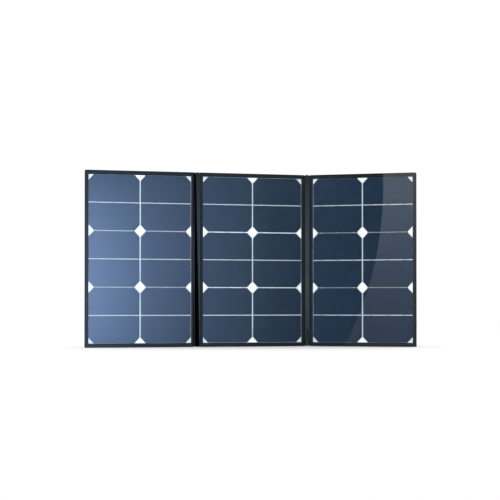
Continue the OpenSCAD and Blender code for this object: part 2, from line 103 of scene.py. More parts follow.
class Nodes:
    """The node tree of a material, or of the world, with short calls for the nodes used here."""

    def __init__(self, name, place=None, world=False):
        self.material = (bpy.data.worlds if world else bpy.data.materials).new(name)
        self.material.use_nodes = True
        self.tree = self.material.node_tree
        self.tree.nodes.clear()
        self.out = self.new("ShaderNodeOutputWorld" if world else "ShaderNodeOutputMaterial")
        self.place = place
        self._mm = None

    def new(self, kind, **settings):
        node = self.tree.nodes.new(kind)
        for key, value in settings.items():
            setattr(node, key, value)
        return node

    def put(self, socket, value):
        """Links or sets a socket; three numbers are a colour."""
        if isinstance(value, bpy.types.NodeSocket):
            self.tree.links.new(value, socket)
        else:
            socket.default_value = (*value, 1) if isinstance(value, tuple) and len(value) == 3 else value

    def mm(self):
        """Object coordinates in millimetres; a panel's own, where its mesh is in the row's frame."""
        if self._mm is None:
            coords = self.new("ShaderNodeTexCoord").outputs["Object"]
            mapping = self.new("ShaderNodeMapping")
            self.put(mapping.inputs["Vector"], coords)
            mapping.inputs["Scale"].default_value = (1000, 1000, 1000)
            if self.place is not None:
                back = self.place.inverted()
                mapping.inputs["Rotation"].default_value = back.to_euler()
                mapping.inputs["Location"].default_value = back.to_translation() * 1000
            self._mm = mapping.outputs["Vector"]
        return self._mm

    def axis(self, letter, vector=None):
        split = self.new("ShaderNodeSeparateXYZ")
        self.put(split.inputs[0], vector or self.mm())
        return split.outputs[letter.upper()]

    def math(self, operation, a, b=0.0, clamp=False):
        node = self.new("ShaderNodeMath", operation=operation, use_clamp=clamp)
        self.put(node.inputs[0], a)
        self.put(node.inputs[1], b)
        return node.outputs[0]

    def white(self, seed):
        """A chance from 0 to 1 that is the same wherever the seed is."""
        node = self.new("ShaderNodeTexWhiteNoise", noise_dimensions="1D")
        self.put(node.inputs["W"], seed)
        return node.outputs["Value"]

    def noise(self, scale_mm, detail=3.0, stretch=(1, 1, 1)):
        mapping = self.new("ShaderNodeMapping")
        self.put(mapping.inputs["Vector"], self.mm())
        mapping.inputs["Scale"].default_value = [s / scale_mm for s in stretch]
        node = self.new("ShaderNodeTexNoise")
        self.put(node.inputs["Vector"], mapping.outputs[0])
        node.inputs["Scale"].default_value = 1.0
        node.inputs["Detail"].default_value = detail
        node.inputs["Roughness"].default_value = 0.5
        return node.outputs["Fac"]

    def remap(self, value, low, high, to_low, to_high):
        node = self.new("ShaderNodeMapRange")
        for socket, v in zip(node.inputs, (value, low, high, to_low, to_high)):
            self.put(socket, v)
        return node.outputs[0]

    def mix(self, factor, a, b, blend="MIX"):
        node = self.new("ShaderNodeMix", data_type="RGBA", blend_type=blend)
        for index, value in ((0, factor), (6, a), (7, b)):
            self.put(node.inputs[index], value)
        return node.outputs[2]

    def mix_shaders(self, factor, a, b):
        """Ends the tree in a mix of two shaders."""
        node = self.new("ShaderNodeMixShader")
        for socket, value in zip(node.inputs, (factor, a.outputs[0], b.outputs[0])):
            self.put(socket, value)
        self.tree.links.new(node.outputs[0], self.out.inputs[0])

    def bump(self, height, distance_mm, strength=1.0, normal=None):
        node = self.new("ShaderNodeBump")
        node.inputs["Strength"].default_value = strength
        node.inputs["Distance"].default_value = distance_mm * MM
        self.put(node.inputs["Height"], height)
        if normal is not None:
            self.put(node.inputs["Normal"], normal)
        return node.outputs[0]

    def principled(self, **sockets):
        node = self.new("ShaderNodeBsdfPrincipled")
        for key, value in sockets.items():
            self.put(node.inputs[key.replace("_", " ")], value)
        self.tree.links.new(node.outputs[0], self.out.inputs[0])
        return node


def rounded(n, radius_mm):
    """The surface normal with its sharp edges rounded off."""
    node = n.new("ShaderNodeBevel", samples=6)
    node.inputs["Radius"].default_value = radius_mm * MM
    return node.outputs[0]


def scaled(colour, factor, lift=0.0):
    """The colour made darker or lighter, never past white."""
    return tuple(min(1.0, c * factor + lift) for c in colour)


def varied(n, colour, amount, scale_mm):
    """A colour that drifts darker and lighter over the surface."""
    drift = n.remap(n.noise(scale_mm, 4.0), 0.3, 0.7, 0, 1)
    return n.mix(drift, scaled(colour, 1 - amount), scaled(colour, 1 + amount))


def worn(n, colour, lighter):
    """The colour, rubbed lighter along raised edges."""
    pointy = n.new("ShaderNodeNewGeometry").outputs["Pointiness"]
    edge = n.math("MULTIPLY", n.remap(pointy, 0.51, 0.56, 0, 1), n.noise(9, 5))
    return n.mix(edge, colour, lighter)


def coat_front(n, shader, shade, ior):
    """Laminates a fabric's front: a clear flat coat, which mirrors the studio, except where painted shade
    darkens the folds.
    """
    front = n.remap(n.axis("y"), FRONT_Y + 0.4, FRONT_Y + 0.2, 0, 1)
    flat = n.new("ShaderNodeNormalMap", space="OBJECT")
    flat.inputs["Color"].default_value = (0.5, 0.0, 0.5, 1)
    n.put(shader.inputs["Coat Weight"], n.math("MULTIPLY", front, n.math("SUBTRACT", 1.0, shade)))
    n.put(shader.inputs["Coat Normal"], flat.outputs[0])
    shader.inputs["Coat IOR"].default_value = ior
    shader.inputs["Coat Roughness"].default_value = 0.02


def fabric(name, colour, thread=0.6, rough=0.8, sheen=0.15, relief=0.12, dark=False, shine=0.25,
           coat_ior=None):
    """Plain weave: threads over and under each other, with slubs, drifting tone and a little sheen.

    With dark, the mesh's painted shade attribute blackens the colour in folds and grooves and fades their
    shine and sheen there. A coat_ior goes with dark only.
    """
    n = Nodes(name)
    wave = math.pi / thread
    warp = n.math("SINE", n.math("MULTIPLY", n.axis("x"), wave))
    weft = n.math("SINE", n.math("MULTIPLY", n.axis("z"), wave))
    weave = n.math("MULTIPLY", warp, weft)
    slub = n.noise(3.0, 3, stretch=(1, 1, 6))
    height = n.math("ADD", n.math("MULTIPLY", weave, 0.5), n.math("MULTIPLY", slub, 0.9))
    shaded = n.mix(n.remap(weave, -1, 1, 0, 1), scaled(colour, 0.72), varied(n, colour, 0.16, 26))
    rubbed = worn(n, shaded, scaled(colour, 1.9, 0.004))
    if dark:
        # Painted shade: a mesh attribute darkens the colour towards black and fades shine and sheen in folds
        # and grooves
        shade = n.new("ShaderNodeAttribute", attribute_name="painted_shade").outputs["Fac"]
        rubbed = n.mix(shade, rubbed, scaled(colour, 0.02))
        shine, sheen = n.remap(shade, 0, 1, shine, 0), n.remap(shade, 0, 1, sheen, 0)
    shader = n.principled(Base_Color=rubbed, Roughness=rough, Sheen_Weight=sheen, Sheen_Roughness=0.45,
                          Specular_IOR_Level=shine, Normal=n.bump(height, relief, 0.6))
    if coat_ior:
        coat_front(n, shader, shade, coat_ior)
    return n.material


def webbing(name, colour, rib=1.9, thread=0.7, along="z"):
    """Ribbed webbing: chevron rows of thick threads along its length."""
    n = Nodes(name)
    lengthwise = n.math("MULTIPLY", n.axis(along), math.pi / thread)
    crosswise = n.math("MULTIPLY", n.axis("x" if along == "z" else "z"), math.pi / rib)
    ridge = n.math("ABSOLUTE", n.math("SINE", crosswise))
    slant = n.math("SINE", n.math("ADD", lengthwise, n.math("MULTIPLY", ridge, 2.2)))
    height = n.math("ADD", n.math("MULTIPLY", ridge, 0.6), n.math("MULTIPLY", slant, 0.4))
    shaded = n.mix(n.remap(height, -0.4, 1, 0, 1), scaled(colour, 0.55), varied(n, colour, 0.18, 14))
    rubbed = worn(n, shaded, scaled(colour, 2.2, 0.012))
    n.principled(Base_Color=rubbed, Roughness=0.72, Sheen_Weight=0.12, Sheen_Roughness=0.4,
                 Specular_IOR_Level=0.3, Normal=n.bump(height, 0.22, 0.8))
    return n.material


def worn_edges(n, colour, lighter, radius_mm):
    """The colour, rubbed lighter where a hard part's edge is near."""
    flat = n.new("ShaderNodeNewGeometry").outputs["Normal"]
    turned = n.new("ShaderNodeVectorMath", operation="DOT_PRODUCT")
    n.put(turned.inputs[0], flat)
    n.put(turned.inputs[1], rounded(n, radius_mm))
    edge = n.math("MULTIPLY", n.remap(turned.outputs["Value"], 0.995, 0.9, 0, 1), n.noise(5, 4))
    return n.mix(edge, colour, lighter)


def moulded(name, colour, rough=0.5, grain_mm=0.35, relief=0.03, wear=0.06):
    """Moulded plastic or rubber with a fine spark-eroded grain and broken edges."""
    n = Nodes(name)
    edge_mm = 0.35
    grain = n.noise(grain_mm, 2)
    tone = worn_edges(n, varied(n, colour, 0.08, 18), scaled(colour, 1, wear), edge_mm * 1.6)
    roughness = n.remap(n.noise(6, 4), 0.3, 0.7, rough * 0.85, rough * 1.15)
    n.principled(Base_Color=tone, Roughness=roughness, Specular_IOR_Level=0.45,
                 Normal=n.bump(grain, relief, 0.5, rounded(n, edge_mm)))
    return n.material


def metal(name, colour, rough=0.3, metallic=1.0):
    """Plated or brushed metal with fine scratches and a slightly uneven tone."""
    n = Nodes(name)
    lines = n.noise(1.2, 4, stretch=(1, 1, 14))
    roughness = n.remap(lines, 0.3, 0.7, rough * 0.75, rough * 1.3)
    n.principled(Base_Color=varied(n, colour, 0.12, 5), Metallic=metallic, Roughness=roughness,
                 Normal=n.bump(lines, 0.015, 0.4, rounded(n, 0.2)))
    return n.material


# Each panel's two cell tones, between which every cell's own tone is drawn; the right wing's pair is bluer as
# painted light, for how that wing meets the light
CELL_TONES = {
    "left": ((0.0110, 0.0242, 0.0487), (0.0122, 0.0263, 0.0527)),
    "centre": ((0.0110, 0.0242, 0.0487), (0.0122, 0.0263, 0.0527)),
    "right": ((0.0103, 0.0255, 0.0535), (0.0113, 0.0275, 0.0572)),
}


def cell_material(panel):
    """Back-contact silicon: every cell its own tone, a faint lattice of contacts and a satin surface."""
    n = Nodes(f"{panel}_solar_cell", PLACE[panel])
    across = n.math("ADD", n.axis("x"), BLOCK_W / 2 + COLUMN_GAP / 2)
    column = n.math("FLOOR", n.math("DIVIDE", across, CELL_W + COLUMN_GAP))
    row = n.math("FLOOR", n.math("DIVIDE", n.math("SUBTRACT", n.axis("z"), BLOCK_Z), ROW_PITCH))
    seed = n.math("ADD", n.math("MULTIPLY", column, 17.0), n.math("ADD", row, 3.7 * (len(panel) + 1)))
    base = n.mix(n.white(seed), *CELL_TONES[panel])
    cloudy = n.mix(n.remap(n.noise(22, 5), 0.3, 0.7, 0, 1), (0.86, 0.86, 0.88), (1.1, 1.1, 1.08))
    toned = n.mix(1.0, base, cloudy, "MULTIPLY")
    fingers = n.math("SINE", n.math("MULTIPLY", n.axis("x"), math.pi / 0.5))
    lined = n.mix(n.remap(fingers, -1, 1, 0, 0.06), toned, (0.03, 0.04, 0.06))
    n.principled(Base_Color=lined, Roughness=0.38, Specular_IOR_Level=0.1,
                 Normal=n.bump(n.noise(30, 2), 0.01, 0.15))
    return n.material


# What the film mirrors at every angle, on top of its Fresnel share; its roughness and how far it ripples
FILM_EXTRA_GLOSS = 0.13
FILM_ROUGH = {"left": 0.03, "centre": 0.03, "right": 0.008}
FILM_RIPPLE = {"left": 0.2, "centre": 0.2, "right": 0.05}


def film_material(panel):
    """Clear front film: it lets the cells show through and mirrors the studio, most at a grazing look."""
    n = Nodes(f"{panel}_clear_film")
    gloss = n.principled(Base_Color=(1, 1, 1), Metallic=1.0, Roughness=FILM_ROUGH[panel],
                         Normal=n.bump(n.noise(60, 1), 0.02, FILM_RIPPLE[panel]))
    facing = n.new("ShaderNodeFresnel")
    facing.inputs["IOR"].default_value = 1.45
    entering = n.math("SUBTRACT", 1.0, n.new("ShaderNodeNewGeometry").outputs["Backfacing"])
    share = n.math("MULTIPLY", n.math("ADD", facing.outputs[0], FILM_EXTRA_GLOSS, clamp=True), entering)
    n.mix_shaders(share, n.new("ShaderNodeBsdfTransparent"), gloss)
    return n.material


# How bright the lines between the rows are, through the diamonds and between them, and the ribbons in them;
# the values differ from panel to panel as painted light and shade, for how each panel meets the light
ROW_LINE_TONES = {"left": (0.64, 0.92), "centre": (1.42, 1.05), "right": (0.48, 1.05)}
RIBBON_TONES = {"left": (0.44, 0.51, 0.54), "centre": (0.54, 0.62, 0.66), "right": (0.34, 0.40, 0.43)}


def white_sheet(panel):
    """White backsheet: bright in the diamonds between cut corners, with painted shade in the narrow gaps, as
    if cast by the cells, and in the corner triangles next to the tape.
    """
    n = Nodes(f"{panel}_white_backsheet", PLACE[panel])
    from_middle = n.math("ABSOLUTE", n.axis("x"))
    up = n.math("SUBTRACT", n.axis("z"), BLOCK_Z - ROW_GAP / 2)
    row = n.math("FLOOR", n.math("DIVIDE", n.math("ADD", up, CELL_H / 2), ROW_PITCH))
    # Painted shade: the narrow gaps' darker tone, as if cast by the cells, with a random tone for each row
    gap_painted_shade = n.mix(n.white(n.math("ADD", row, 8.3 * len(panel))), (0.40, 0.48, 0.53), (0.51, 0.60, 0.64))

    # Per-panel painted light and shade on the row lines
    notched, plain = ROW_LINE_TONES[panel]
    line = n.mix(n.math("PINGPONG", row, 1.0), (notched, notched, notched), (plain, plain, plain))
    near_row = n.remap(n.math("PINGPONG", up, ROW_PITCH / 2), 1.1, 1.4, 1, 0)
    off_column = n.remap(from_middle, COLUMN_GAP / 2 - 0.1, COLUMN_GAP / 2 + 0.1, 0, 1)
    shaded = n.mix(n.math("MULTIPLY", near_row, off_column), gap_painted_shade, n.mix(1.0, gap_painted_shade, line, "MULTIPLY"))

    from_diamond = n.math("ADD", n.math("PINGPONG", n.axis("x"), (CELL_W + COLUMN_GAP) / 2),
                          n.math("PINGPONG", up, ROW_PITCH))
    open_white = varied(n, (0.80, 0.845, 0.85), 0.02, 30)
    tone = n.mix(n.remap(from_diamond, DIAMOND_R - 2.5, DIAMOND_R, 0, 1), open_white, shaded)
    # Painted shade: the corner triangles next to the tape darkened
    side = n.remap(from_middle, 106, 122, 0, 1)
    end = n.remap(n.math("ABSOLUTE", n.math("SUBTRACT", up, BLOCK_H / 2)), 176, 188, 0, 1)
    tone = n.mix(n.math("MULTIPLY", side, end), tone, (0.57, 0.65, 0.675))
    n.principled(Base_Color=tone, Roughness=0.35, Specular_IOR_Level=0.2,
                 Normal=n.bump(n.noise(2.0, 3), 0.01, 0.3))
    return n.material


def lens_material():
    n = Nodes("lens")
    n.principled(Base_Color=varied(n, (0.75, 0.95, 0.8), 0.08, 2), Roughness=0.12, Transmission_Weight=0.6,
                 Normal=n.bump(n.noise(1.0, 2), 0.01, 0.3))
    return n.material


def board_mask():
    n = Nodes("circuit_board_mask")
    traces = n.math("SINE", n.math("MULTIPLY", n.axis("x"), math.pi / 1.2))
    lines = n.math("GREATER_THAN", n.math("MULTIPLY", traces, n.noise(7, 1)), 0.35)
    tone = n.mix(lines, (0.015, 0.12, 0.055), (0.03, 0.2, 0.09))
    n.principled(Base_Color=tone, Roughness=0.3, Normal=n.bump(lines, 0.03, 0.4))
    return n.material


HINGE_WEAVE = {"thread": 0.7, "relief": 0.16, "dark": True}
BACK_WEAVE = {"thread": 0.7, "relief": 0.16}
BORDER_WEAVE = {"thread": 0.55, "sheen": 0.03, "dark": True, "shine": 0.15, "coat_ior": 1.44}
LOOKS = (
    (fabric, "thread", (0.045, 0.052, 0.062), {"thread": 0.25, "rough": 0.6, "relief": 0.05}),
    (fabric, "hinge_fabric", (0.0250, 0.0355, 0.0470), HINGE_WEAVE),
    # The left hinge's copy of the same cloth is darker: painted shade for that hinge
    (fabric, "left_hinge_fabric", (0.0195, 0.0290, 0.0390), HINGE_WEAVE),
    (fabric, "left_border_fabric", (0.0036, 0.0080, 0.0124), BORDER_WEAVE),
    (fabric, "centre_border_fabric", (0.0036, 0.0080, 0.0124), BORDER_WEAVE),
    # The right wing's copy of the same tape is darker, with less sheen and shine: painted shade for that wing
    (fabric, "right_border_fabric", (0.0030, 0.0065, 0.0098),
     {**BORDER_WEAVE, "sheen": 0.02, "shine": 0.1, "coat_ior": 2.2}),
    (fabric, "back_fabric", (0.0165, 0.0212, 0.0270), BACK_WEAVE),
    (fabric, "pocket_fabric", (0.0200, 0.0258, 0.0330), BACK_WEAVE),
    (fabric, "loop_pad", (0.027, 0.032, 0.039), {"thread": 0.9, "sheen": 0.5, "relief": 0.4}),
    (webbing, "zip_tape", (0.011, 0.012, 0.014), {"rib": 0.9, "thread": 0.5, "along": "x"}),
    (webbing, "webbing", (0.014, 0.015, 0.018), {}),
    (webbing, "strap_webbing", (0.014, 0.015, 0.018), {"along": "x"}),
    (moulded, "patch_leather", (0.028, 0.029, 0.032), {"rough": 0.55, "grain_mm": 1.1, "relief": 0.12}),
    (moulded, "stiffener_board", (0.33, 0.34, 0.28), {"rough": 0.6, "grain_mm": 0.8}),
    (moulded, "box_plastic", (0.009, 0.0095, 0.011), {"rough": 0.38, "wear": 0.03}),
    (moulded, "gasket_rubber", (0.05, 0.05, 0.052), {"rough": 0.75}),
    (moulded, "cap_rubber", (0.016, 0.016, 0.018), {"rough": 0.68, "grain_mm": 0.5}),
    (moulded, "component_plastic", (0.014, 0.014, 0.016), {"rough": 0.4}),
    (moulded, "capacitor_sleeve", (0.03, 0.05, 0.09), {"rough": 0.25}),
    (moulded, "choke_ferrite", (0.2, 0.11, 0.055), {"rough": 0.35, "grain_mm": 1.0, "relief": 0.2}),
    (moulded, "lead_insulation", (0.36, 0.03, 0.03), {"rough": 0.4}),
    (metal, "screw_steel", (0.55, 0.56, 0.58), {"rough": 0.28}),
    (metal, "socket_metal", (0.7, 0.71, 0.72), {"rough": 0.2}),
    (metal, "zip_metal", (0.3, 0.32, 0.34), {"rough": 0.3}),
    (metal, "rivet_metal", (0.42, 0.44, 0.46), {"rough": 0.28}),
)
MATERIALS = {name: make(name, colour, **settings) for make, name, colour, settings in LOOKS}
MATERIALS.update(lens=lens_material(), circuit_board=board_mask())


# ---------------------------------------------------------------- mesh code

def mesh_object(name, points, faces, material):
    """A mesh object from points in metres."""
    mesh = bpy.data.meshes.new(name)
    mesh.from_pydata([tuple(p) for p in points], [], [tuple(f) for f in faces])
    mesh.materials.append(material)
    obj = bpy.data.objects.new(name, mesh)
    bpy.context.scene.collection.objects.link(obj)
    return obj


def piece(name, verts, faces, material, place=PLACE["centre"], smooth=True):
    """A mesh object from points in millimetres, set at a place of the row's frame."""
    obj = mesh_object(name, [[float(c) * MM for c in v] for v in verts], faces, material)
    obj.data.validate()
    obj.data.update()
    obj.data.polygons.foreach_set("use_smooth", [smooth] * len(obj.data.polygons))
    obj.matrix_world = place
    return obj


def grid_faces(rows, columns, wrap_rows=False, wrap_columns=False, start=0):
    faces = []
    for i in range(rows if wrap_rows else rows - 1):
        for j in range(columns if wrap_columns else columns - 1):
            a, b = i * columns, (i + 1) % rows * columns
            k = (j + 1) % columns
            faces.append((start + a + j, start + a + k, start + b + k, start + b + j))
    return faces


def grids(rows, columns, points_at):
    """Two grids of points; points_at gives both for a share of the way across and of the way up."""
    pairs = [[points_at(j / (columns - 1), i / (rows - 1)) for j in range(columns)] for i in range(rows)]
    both = np.array(pairs, dtype=float)
    return both[:, :, 0], both[:, :, 1]


def slab(front, back):
    """A closed sheet between two grids of points of the same shape."""
    rows, columns = front.shape[:2]
    count = rows * columns
    verts = np.concatenate([front.reshape(-1, 3), back.reshape(-1, 3)])
    faces = grid_faces(rows, columns)
    faces += [tuple(reversed(f)) for f in grid_faces(rows, columns, start=count)]
    rim = list(range(columns)) + [i * columns + columns - 1 for i in range(1, rows)]
    rim += [(rows - 1) * columns + j for j in range(columns - 2, -1, -1)]
    rim += [i * columns for i in range(rows - 2, 0, -1)]
    for a, b in zip(rim, rim[1:] + rim[:1]):
        faces.append((b, a, a + count, b + count))
    return verts, faces


def outward(obj):
    """Turns the faces of a closed mesh to the outside."""
    bm = bmesh.new()
    bm.from_mesh(obj.data)
    bmesh.ops.recalc_face_normals(bm, faces=bm.faces)
    bm.to_mesh(obj.data)
    bm.free()
    return obj


def wave_noise(x, y, z, scale):
    return noise.noise(Vector((x / scale, y / scale, z / scale)))


def smoothstep(t):
    t = min(1.0, max(0.0, t))
    return t * t * (3 - 2 * t)


def bump_line(distance, width):
    """1 on a line, falling off softly to both sides."""
    return math.exp(-(distance / width) ** 2)


def rounded_distance(x, z, half_w, half_h, r):
    """How far inside a rounded rectangle a point lies; negative outside."""
    dx, dz = abs(x) - (half_w - r), abs(z) - (half_h - r)
    outside = math.hypot(max(dx, 0), max(dz, 0))
    return r - outside - min(max(dx, dz), 0)


def arc(x, z, r, turn, count):
    """Points of a quarter turn that starts at an angle in degrees."""
    angles = [math.radians(turn + 90 * k / (count - 1)) for k in range(count)]
    return [(x + r * math.cos(angle), z + r * math.sin(angle)) for angle in angles]


# The corners of an upright rectangle, each with the angle at which its rounding starts
CORNERS = ((1, -1, -90), (1, 1, 0), (-1, 1, 90), (-1, -1, 180))


def stitch_run(points, normal, length=3.1, pitch=STITCH_PITCH, width=0.55, height=0.32):
    """Thread stitches along a line of points: small pointed lozenges that dip into the cloth at both ends."""
    shape = ((-0.5, 0.15), (-0.38, 0.75), (0.0, 1.0), (0.38, 0.75), (0.5, 0.15))
    sides = 6
    verts, faces = [], []
    points = [Vector(p) for p in points]
    normal = Vector(normal)
    gone, target = 0.0, pitch / 2
    for a, b in zip(points, points[1:]):
        step = (b - a).length
        while step > 0 and gone + step >= target:
            centre = a + (b - a) * ((target - gone) / step)
            along = (b - a).normalized()
            side = along.cross(normal).normalized()
            lean = side * rng.uniform(-0.12, 0.12)
            start = len(verts)
            for t, r in shape:
                middle = centre + along * t * length + lean * t * 2
                for k in range(sides):
                    angle = math.pi * 2 * k / sides
                    verts.append(middle + side * (math.cos(angle) * width / 2 * r)
                                 + normal * (math.sin(angle) * height * r))
            faces += grid_faces(len(shape), sides, wrap_columns=True, start=start)
            faces.append(tuple(range(start + sides - 1, start - 1, -1)))
            faces.append(tuple(range(len(verts) - sides, len(verts))))
            target += pitch
        gone += step
    return verts, faces


def joined(parts):
    """Several meshes as the points and faces of one."""
    verts, faces = [], []
    for v, f in parts:
        start = len(verts)
        verts += list(v)
        faces += [tuple(start + i for i in face) for face in f]
    return verts, faces


# ---------------------------------------------------------------- the three panels

def border_loop(t, step=2.2):
    """One turn round the panel's outline, a share t of the border's width in from the edge."""
    half_w, half_h = PANEL_W / 2 - SIDE_BORDER * t, PANEL_H / 2 - END_BORDER * t
    r = max(0.02, CORNER_R * (1 - 2.4 * t))
    rounds = [arc(sx * (half_w - r), sz * (half_h - r), r, turn, 6) for sx, sz, turn in CORNERS]
    points = []
    for corner, following in zip(rounds, rounds[1:] + rounds[:1]):
        (ex, ez), (fx, fz) = corner[-1], following[0]
        count = int((PANEL_H if abs(fz - ez) > abs(fx - ex) else PANEL_W) / step)
        points += corner
        points += [(ex + (fx - ex) * k / count, ez + (fz - ez) * k / count) for k in range(1, count)]
    return points


# How the folded tape runs over the edge, as (share of the border's width, height over the middle)
SEAM_T = 0.66
TAPE_FRONT = ((1.11, 1.93), (1.11, 2.15), (1.08, 2.3), (1.0, 2.39), (0.86, 2.44), (0.74, 2.42),
              (0.70, 2.36), (SEAM_T, 2.26), (0.62, 2.36), (0.58, 2.42), (0.46, 2.46), (0.32, 2.48),
              (0.2, 2.46), (0.1, 2.32), (0.035, 1.95), (0.0, 1.2))
TAPE_INSIDE = ((0.09, 1.93), (0.09, -1.93))


def binding(panel):
    """The folded fabric tape round a panel, pulled in along its seam and puckered between the stitches, with
    painted shade along the seam and, on the left panel, by the hinge groove.
    """
    profile = [(t, -h) for t, h in TAPE_FRONT] + [(t, h) for t, h in reversed(TAPE_FRONT)] + list(TAPE_INSIDE)
    verts, painted_shades = [], []
    for index, (t, y) in enumerate(profile):
        loop = border_loop(t)
        outside = index < len(profile) - len(TAPE_INSIDE) and 0.05 < t < 1.1
        side = 1 if y > 0 else -1
        length = 0.0
        for k, (x, z) in enumerate(loop):
            if k:
                length += math.dist((x, z), loop[k - 1])
            ripple = 0.05 * math.sin(length * 2 * math.pi / STITCH_PITCH) * bump_line(t - SEAM_T, 0.14)
            slack = 0.13 * wave_noise(x, side * 40, z, 11) + 0.08 * wave_noise(x, side, z, 3)
            verts.append((x, y + side * (ripple + slack) * outside, z + PANEL_H / 2))
            # Painted shade: the tape darkened along its seam's crease, and the left panel's tape darkened at
            # its front inner edge as a painted shadow of the hinge's groove, most towards the ends
            rolled = smoothstep((x - PANEL_W / 2 + 3.6) / 0.9) * smoothstep(abs(z / PANEL_H) / 0.32)
            painted_shades.append(max(0.55 * bump_line(t - SEAM_T, 0.05), rolled * (panel == "left" and y < 0)))
    faces = grid_faces(len(profile), len(loop), wrap_rows=True, wrap_columns=True)
    obj = piece(f"{panel}_binding", verts, faces, MATERIALS[f"{panel}_border_fabric"], PLACE[panel])
    outward(obj)
    obj.data.attributes.new("painted_shade", "FLOAT", "POINT").data.foreach_set("value", painted_shades)
    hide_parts(f"{panel}_border")
    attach(obj, f"{panel}_panel")


def binding_stitches(panel):
    runs = []
    for side in (-1, 1):
        loop = [(x, side * 2.42, z + PANEL_H / 2) for x, z in border_loop(SEAM_T, step=4.0)]
        runs.append(stitch_run(loop + loop[:1], (0, side, 0)))
    obj = piece(f"{panel}_binding_stitches", *joined(runs), MATERIALS["thread"], PLACE[panel])
    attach(obj, f"{panel}_panel")


def film(panel):
    """The clear front film, a thin closed sheet that is never quite flat."""

    def points_at(u, v):
        x, z = CORE_W * (u - 0.5), CORE_Z + CORE_H * v
        return (x, FILM_Y + 0.02 + 0.012 * wave_noise(x, 5, z, 60), z), (x, CELL_Y - 0.06, z)

    obj = piece(f"{panel}_film", *slab(*grids(81, 55, points_at)), film_material(panel), PLACE[panel])
    outward(obj)
    obj.visible_shadow = False
    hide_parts(f"{panel}_front_film")
    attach(obj, f"{panel}_panel")


def back_cloth(panel):
    """The coated cloth over a panel's back, stretched under the tape, with slack near the edges."""
    seed = {"centre": 0, "left": 300, "right": 600}[panel]

    def points_at(u, v):
        x, z = CORE_W * (u - 0.5), CORE_Z + CORE_H * v
        edge = min(CORE_W / 2 - abs(x), z - CORE_Z, CORE_Z + CORE_H - z)
        free = min(1.0, max(0.0, (edge - 8) / 20))
        loose = 0.12 * wave_noise(x + seed, 0, z, 46) + 0.09 * wave_noise(x + seed, 9, z * 0.4, 14)
        return (x, BACK_Y - 0.48, z), (x, BACK_Y - 0.06 + free * loose, z)

    obj = piece(f"{panel}_back_cloth", *slab(*grids(135, 91, points_at)), MATERIALS["back_fabric"],
                PLACE[panel])
    outward(obj)
    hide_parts(f"{panel}_back_cover")
    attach(obj, f"{panel}_panel")


for panel in PLACE:
    binding(panel)
    binding_stitches(panel)
    film(panel)
    back_cloth(panel)


# ---------------------------------------------------------------- fabric hinges

WEB_T = 0.8
WEB_ROWS = 150
WEB_LOW = 0.5
GROOVE_W, GROOVE_TAPER = 13.2, 9.2


def left_web_line(z, u):
    """The left hinge's middle surface: a groove beside the left wing, blackened with painted shade, then a
    soft band with painted shade at its edge by the centre panel.
    """
    low, high = LEFT_EDGE + 0.1, -CENTRE_EDGE - 0.1
    groove = GROOVE_W - GROOVE_TAPER * z / PANEL_H + 0.6 * wave_noise(0, 3, z, 40)
    split = 0.5
    if u < split:
        t = u / split
        x = low + groove * t
        y = -0.9 + 3.4 * smoothstep(t / 0.3) - 4.7 * smoothstep((t - 0.66) / 0.34)
        # Painted shade blackens the groove
        painted_shade = smoothstep((t - 0.02) / 0.1) * (1 - smoothstep((t - 0.95) / 0.05))
    else:
        t = (u - split) / (1 - split)
        x = low + groove + (high - low - groove) * t
        y = -2.2 - 0.75 * math.sin(math.pi * min(1, t * 0.85 + 0.02)) + 1.0 * smoothstep((t - 0.8) / 0.2)
        y += 0.16 * wave_noise(x, 7, z, 9) + 0.3 * wave_noise(x, 9, z * 0.12, 2.6)
        # Painted shade where the band meets the centre panel
        painted_shade = 0.7 * smoothstep((t - 0.86) / 0.14)
    return x, y, painted_shade


def right_web_line(z, u):
    """The right hinge's middle surface laid flat: a band pushed forward by the fold, creased at its ends,
    with painted shade along both its sides and in its creases.
    """
    x = CENTRE_EDGE + 0.1 + (RIGHT_EDGE - CENTRE_EDGE - 0.2) * u
    swell = math.sin(math.pi * u)
    wrinkles = (0.28 * wave_noise(x, 3, z, 12) + 0.2 * wave_noise(0, 8, z, 5)
                + 0.5 * wave_noise(x, 9, z * 0.1, 2.8))
    y = -1.2 - 2.9 * swell ** 0.75 + wrinkles * swell
    # Painted shade along both sides of the band and, at the return, in the creases at its ends
    painted_shade = 1 - smoothstep(u / 0.2) + 0.8 * (1 - smoothstep((1 - u) / 0.17))
    top = PANEL_H - z
    low_crease = bump_line(abs(u - 0.55) - 0.42 * max(0.0, 1 - z / 42), 0.11) * smoothstep((46 - z) / 10)
    top_crease = bump_line(abs(u - 0.5) - 0.3 * (1 - top / 30), 0.12) * smoothstep((30 - top) / 10)
    y += 1.6 * low_crease + 1.1 * top_crease
    return x, y, max(painted_shade, low_crease, 0.8 * top_crease)


def painted_end_shade(z):
    """Painted shade: the hinge cloth darkened towards its two ends, most at the top."""
    off = z / PANEL_H - 0.42
    return 0.5 * (off / 0.58) ** 2 if off > 0 else 0.3 * (off / 0.42) ** 2


def no_bend(x, y, at):
    return x, y


def half_fold(x, y, at):
    """Turns a flat point of the right hinge with its share of the fold."""
    angle = -RIGHT_FOLD * smoothstep((at - CENTRE_EDGE) / (RIGHT_EDGE - CENTRE_EDGE))
    dx, dy = x - RIGHT_AXIS[0], y - RIGHT_AXIS[1]
    return (RIGHT_AXIS[0] + dx * math.cos(angle) - dy * math.sin(angle),
            RIGHT_AXIS[1] + dx * math.sin(angle) + dy * math.cos(angle))


